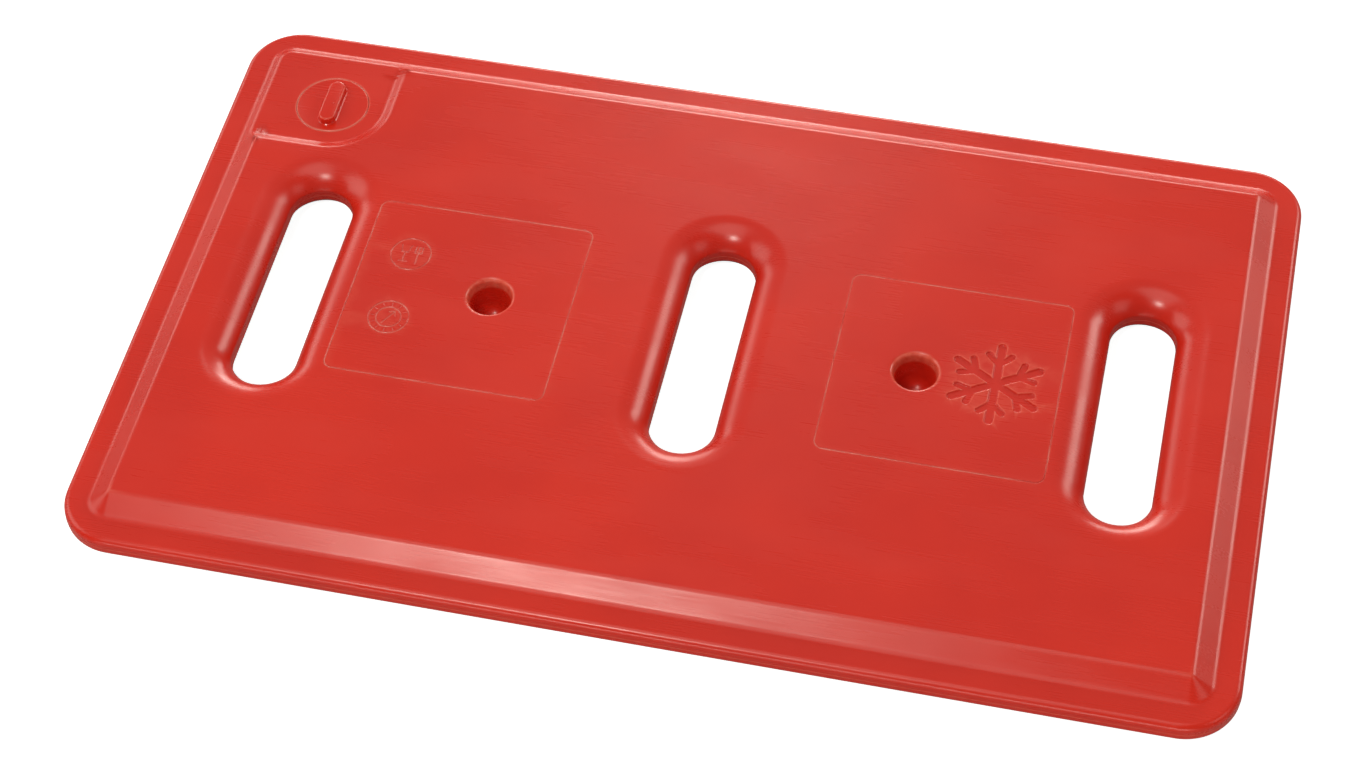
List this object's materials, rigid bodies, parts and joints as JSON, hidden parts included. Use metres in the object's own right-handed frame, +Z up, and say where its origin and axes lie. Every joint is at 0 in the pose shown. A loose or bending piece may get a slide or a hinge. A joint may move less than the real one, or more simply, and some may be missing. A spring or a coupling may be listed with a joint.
{
  "type": "eutectic cold plate",
  "caption": "Flat rectangular gel-filled cold plate with a stepped rim, hand slots through it, kiss-off dimples and a screw filler plug sunk in one corner.",
  "frame": {"origin": "on the bottom face's plane, under the centre of the plate", "axes": "+X along the plate's long side, away from the filler corner; +Y along the short side, towards the filler corner's edge; +Z up, out of the face that carries the plug"},
  "size_m": [0.53, 0.325, 0.025],
  "materials": {
    "shell": "semi-gloss blow-moulded polyethylene",
    "gel": "translucent gel",
    "neck": "moulded",
    "seal": "matt",
    "plug": "semi-gloss injection-moulded polyethylene"
  },
  "bodies": {
    "plate": {"shell": "shell", "gel_fill": "gel", "filler_neck": "neck"},
    "seal": {"plug_seal": "seal"},
    "plug": {"filler_plug": "plug"}
  },
  "joints": [
    {"name": "plug_lift", "type": "slide", "parent": "plate", "child": "seal", "axis": [0, 0, 1], "range_m": [0, 0.01]},
    {"name": "plug_turn", "type": "hinge", "parent": "seal", "child": "plug", "pos_m": [-0.213, 0.1125, 0.02], "axis": [0, 0, 1], "range_deg": [0, 900]}
  ],
  "couplings": [
    {"joint": "plug_lift", "follows": "plug_turn", "m_per_rad": 0.00063662}
  ]
}
